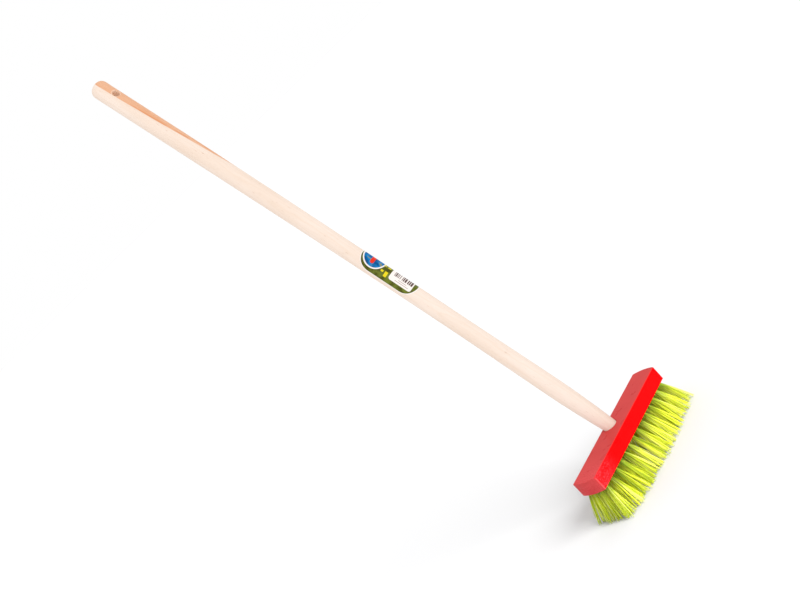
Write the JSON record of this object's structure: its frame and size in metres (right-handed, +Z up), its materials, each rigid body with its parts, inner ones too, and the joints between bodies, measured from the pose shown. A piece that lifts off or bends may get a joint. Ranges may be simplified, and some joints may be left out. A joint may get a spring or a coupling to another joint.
{
  "type": "push broom",
  "caption": "Small push broom: round wooden handle with a hanging hole, slanted into a painted wooden block with bowed ends and rows of lime plastic bristle tufts.",
  "frame": {"origin": "centre of the bounding box's base: on the plane of the bristle tips, midway along the block, and midway between the front bristle tips and the handle's far end", "axes": "+Z up, with the bristles down as in use; +X along the block; +Y the way the handle leans"},
  "size_m": [0.2184, 0.3382, 0.8023],
  "materials": {
    "handle_wood": "pale sanded softwood, unvarnished, with an orange heartwood streak",
    "block_paint": "satin red paint on wood",
    "bristle": "lime plastic filament, slightly glossy",
    "sticker_film": "glossy printed film with plain shapes and no lettering"
  },
  "bodies": {
    "root": {"block": "block_paint", "handle": "handle_wood", "sticker": "sticker_film", "tuft_row1_01": "bristle", "tuft_row1_02": "bristle", "tuft_row1_03": "bristle", "tuft_row1_04": "bristle", "tuft_row1_05": "bristle", "tuft_row1_06": "bristle", "tuft_row1_07": "bristle", "tuft_row1_08": "bristle", "tuft_row1_09": "bristle", "tuft_row1_10": "bristle", "tuft_row1_11": "bristle", "tuft_row1_12": "bristle", "tuft_row1_13": "bristle", "tuft_row1_14": "bristle", "tuft_row2_01": "bristle", "tuft_row2_02": "bristle", "tuft_row2_03": "bristle", "tuft_row2_04": "bristle", "tuft_row2_05": "bristle", "tuft_row2_06": "bristle", "tuft_row2_09": "bristle", "tuft_row2_10": "bristle", "tuft_row2_11": "bristle", "tuft_row2_12": "bristle", "tuft_row2_13": "bristle", "tuft_row2_14": "bristle", "tuft_row3_01": "bristle", "tuft_row3_02": "bristle", "tuft_row3_03": "bristle", "tuft_row3_04": "bristle", "tuft_row3_05": "bristle", "tuft_row3_06": "bristle", "tuft_row3_09": "bristle", "tuft_row3_10": "bristle", "tuft_row3_11": "bristle", "tuft_row3_12": "bristle", "tuft_row3_13": "bristle", "tuft_row3_14": "bristle", "tuft_row4_01": "bristle", "tuft_row4_02": "bristle", "tuft_row4_03": "bristle", "tuft_row4_04": "bristle", "tuft_row4_05": "bristle", "tuft_row4_06": "bristle", "tuft_row4_07": "bristle", "tuft_row4_08": "bristle", "tuft_row4_09": "bristle", "tuft_row4_10": "bristle", "tuft_row4_11": "bristle", "tuft_row4_12": "bristle", "tuft_row4_13": "bristle", "tuft_row4_14": "bristle"}
  },
  "joints": []
}
